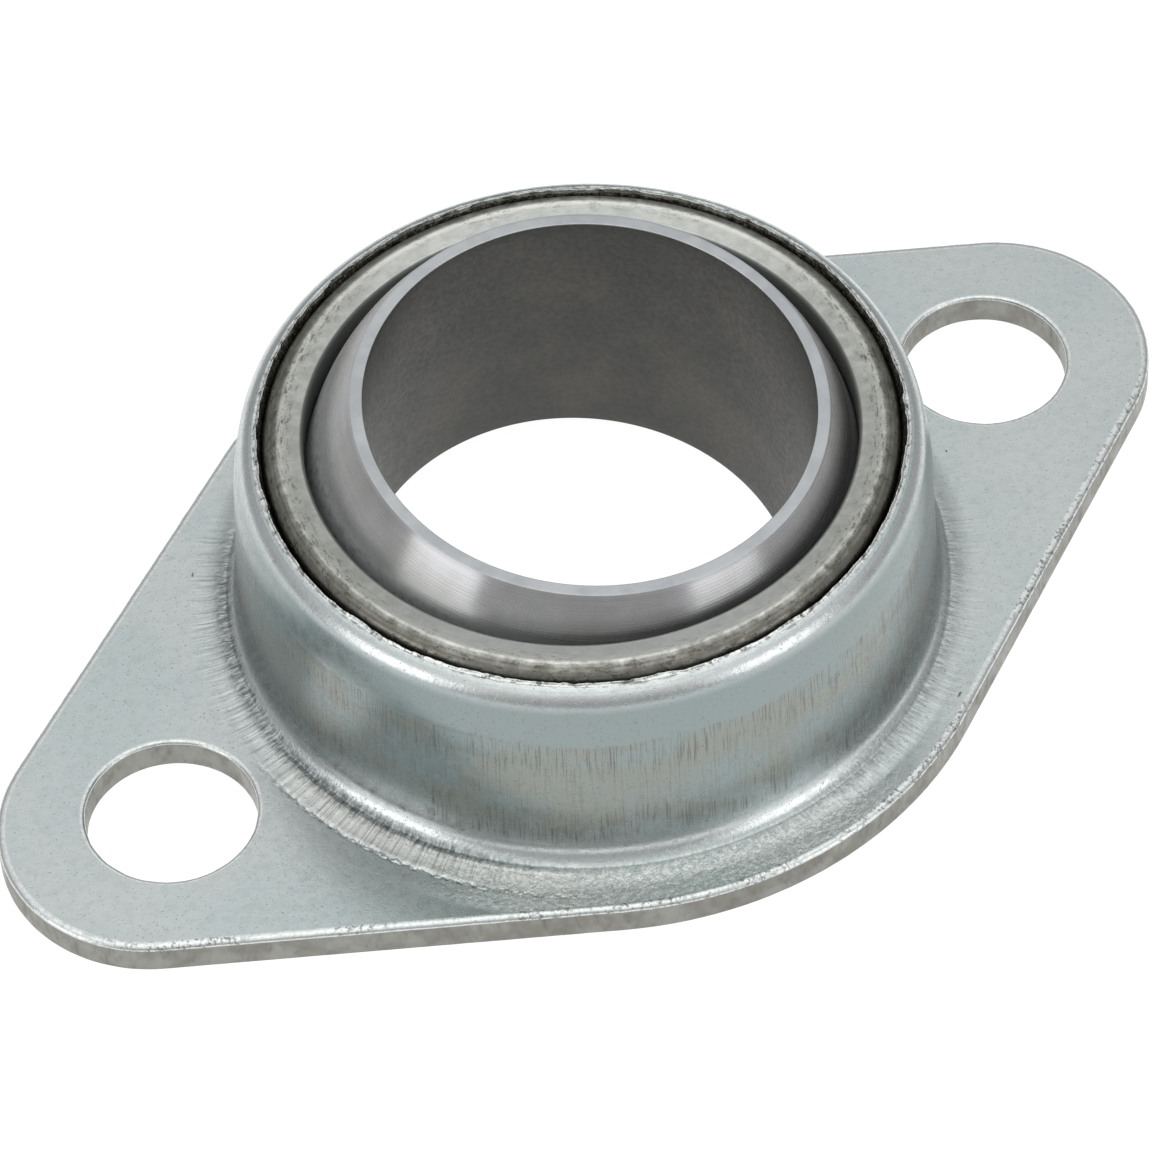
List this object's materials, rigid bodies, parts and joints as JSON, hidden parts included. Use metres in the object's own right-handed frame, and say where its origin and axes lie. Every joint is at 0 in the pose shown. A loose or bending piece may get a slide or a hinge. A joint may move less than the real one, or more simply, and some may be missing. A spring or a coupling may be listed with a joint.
{
  "type": "self-aligning flange mount bearing",
  "caption": "Pressed-steel diamond flange with a raised boss holding a race and a bored steel ball that swivels to align a shaft.",
  "frame": {"origin": "midway between the two bolt holes, on the flange's back face", "axes": "+X through the bolt holes along the flange, +Z along the boss away from the back face"},
  "size_m": [0.0772, 0.0476, 0.0204],
  "materials": {
    "zinc_housing": "zinc plated, mottled satin",
    "zinc_race": "zinc plated, finely pitted",
    "turned_steel": "turned, unplated"
  },
  "bodies": {
    "housing": {"flange_housing": "zinc_housing", "outer_race": "zinc_race"},
    "ball": {"bored_ball": "turned_steel"}
  },
  "joints": [
    {"name": "ball_tilt", "type": "hinge", "parent": "housing", "child": "ball", "pos_m": [0, 0, 0.0093], "axis": [0.9613, 0.2756, 0], "range_deg": [-15, 5]}
  ]
}
